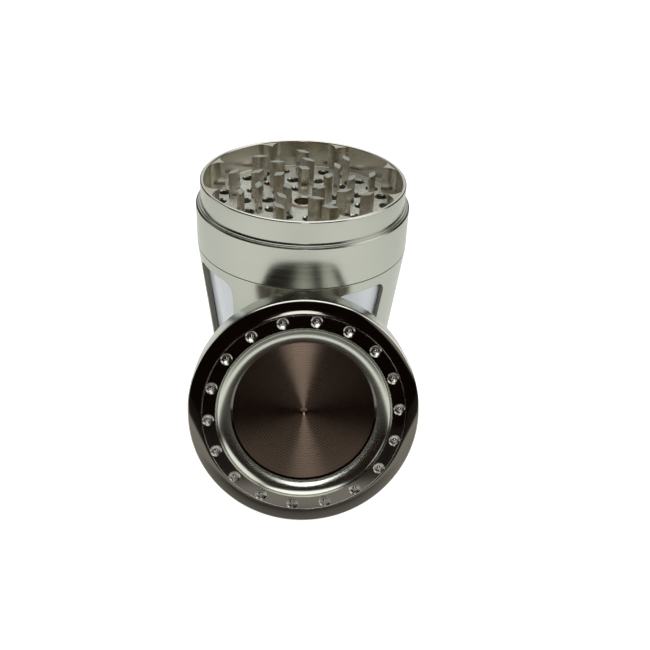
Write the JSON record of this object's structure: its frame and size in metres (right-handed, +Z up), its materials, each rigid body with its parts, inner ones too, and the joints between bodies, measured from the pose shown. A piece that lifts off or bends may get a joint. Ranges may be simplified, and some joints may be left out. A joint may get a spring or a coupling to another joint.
{
  "type": "hand grinder",
  "caption": "Four-part metal hand grinder with a tapered, windowed collector; its recessed lid is off and leans on the body.",
  "frame": {"origin": "centre of the bowl's flat underside, on the body's axis", "axes": "+Z up along the body's axis; the lid leans on the body at -Y, turned 4 degrees towards +X"},
  "size_m": [0.0665, 0.0947, 0.0794],
  "materials": {
    "nickel": "bright nickel plate, finely turned",
    "clear": "clear acrylic",
    "sieve_steel": "woven and spring steel",
    "magnet": "plated magnet",
    "nylon": "white nylon"
  },
  "bodies": {
    "bowl": {"kief_bowl": "nickel"},
    "sieve": {"sieve_screen": "sieve_steel", "sieve_ring": "sieve_steel"},
    "collector": {"window_frame": "nickel", "window_pane_1": "clear", "window_pane_2": "clear", "window_pane_3": "clear", "window_pane_4": "clear"},
    "magnet_carrier": {"chamber_magnet": "magnet"},
    "chamber": {"chamber_wall": "nickel", "chamber_floor": "nickel", "inner_tooth_1": "nickel", "inner_tooth_2": "nickel", "inner_tooth_3": "nickel", "inner_tooth_4": "nickel", "inner_tooth_5": "nickel", "middle_tooth_1": "nickel", "middle_tooth_2": "nickel", "middle_tooth_3": "nickel", "middle_tooth_4": "nickel", "middle_tooth_5": "nickel", "middle_tooth_6": "nickel", "middle_tooth_7": "nickel", "middle_tooth_8": "nickel", "middle_tooth_9": "nickel", "outer_tooth_1": "nickel", "outer_tooth_2": "nickel", "outer_tooth_3": "nickel", "outer_tooth_4": "nickel", "outer_tooth_5": "nickel", "outer_tooth_6": "nickel", "outer_tooth_7": "nickel", "outer_tooth_8": "nickel", "outer_tooth_9": "nickel"},
    "lid_core": {"lid_magnet": "magnet", "lid_glide_ring": "nylon"},
    "lid": {"lid_cap": "nickel"}
  },
  "joints": [
    {"name": "collector_rise", "type": "slide", "parent": "bowl", "child": "sieve", "axis": [0, 0, 1], "range_m": [0, 0.005]},
    {"name": "collector_turn", "type": "hinge", "parent": "sieve", "child": "collector", "pos_m": [0, 0, 0.014], "axis": [0, 0, 1], "range_deg": [0, 900]},
    {"name": "chamber_rise", "type": "slide", "parent": "collector", "child": "magnet_carrier", "axis": [0, 0, 1], "range_m": [0, 0.005]},
    {"name": "chamber_turn", "type": "hinge", "parent": "magnet_carrier", "child": "chamber", "pos_m": [0, 0, 0.0596], "axis": [0, 0, 1], "range_deg": [0, 900]},
    {"name": "lid_away", "type": "slide", "parent": "bowl", "child": "lid_core", "axis": [0.0658, -0.9409, 0.3322], "range_m": [0, 0.06]},
    {"name": "lid_turn", "type": "hinge", "parent": "lid_core", "child": "lid", "pos_m": [0.00295, -0.04221, 0.02971], "axis": [0.0658, -0.9409, 0.3322], "continuous": true}
  ],
  "couplings": [
    {"joint": "collector_rise", "follows": "collector_turn", "m_per_rad": 0.00031831},
    {"joint": "chamber_rise", "follows": "chamber_turn", "m_per_rad": 0.00031831}
  ]
}
